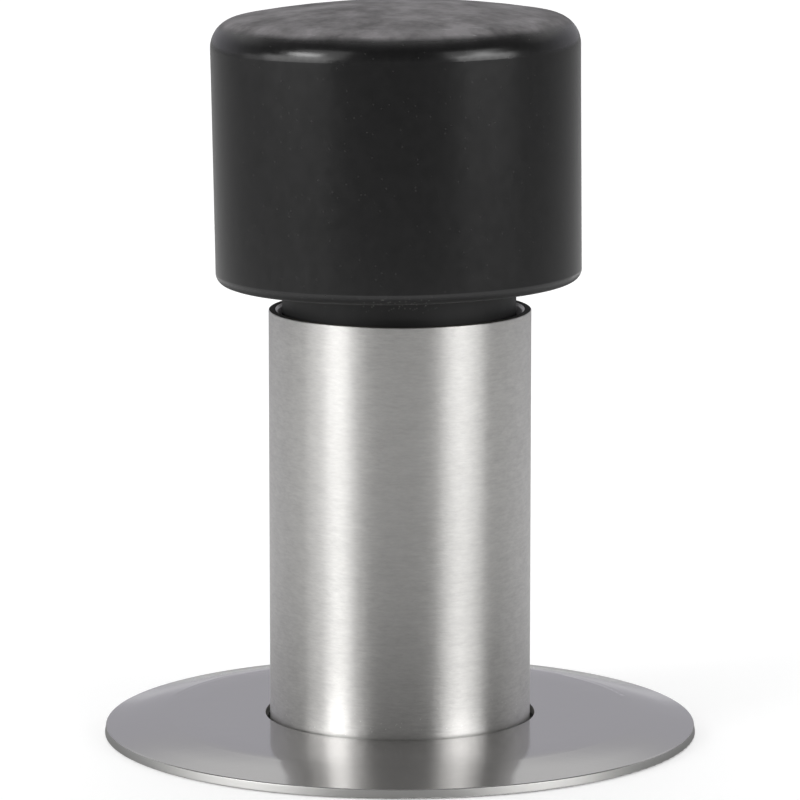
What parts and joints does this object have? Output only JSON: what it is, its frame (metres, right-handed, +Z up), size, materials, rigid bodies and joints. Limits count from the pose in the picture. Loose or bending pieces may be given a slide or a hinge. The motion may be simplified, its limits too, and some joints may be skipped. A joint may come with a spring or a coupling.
{
  "type": "floor door stop",
  "caption": "Cylindrical floor door stop: round black rubber buffer plugged into a brushed steel tube, with a loose dished cover rosette at the foot.",
  "frame": {"origin": "on the floor, in the axis of the post tube", "axes": "+Z up along the post tube; the head leans slightly towards -X; -Y is the side the picture was taken from"},
  "size_m": [0.0794, 0.0794, 0.0983],
  "materials": {
    "buffer_rubber": "semi-matt moulded black rubber, lightly rubbed on top",
    "brushed_tube": "stainless steel, finely brushed round the tube",
    "satin_rosette": "stainless steel, smooth satin",
    "turned_plug": "bright turned steel"
  },
  "bodies": {
    "root": {"rubber_head": "buffer_rubber", "post_tube": "brushed_tube", "floor_rosette": "satin_rosette", "foot_plug": "turned_plug"}
  },
  "joints": []
}
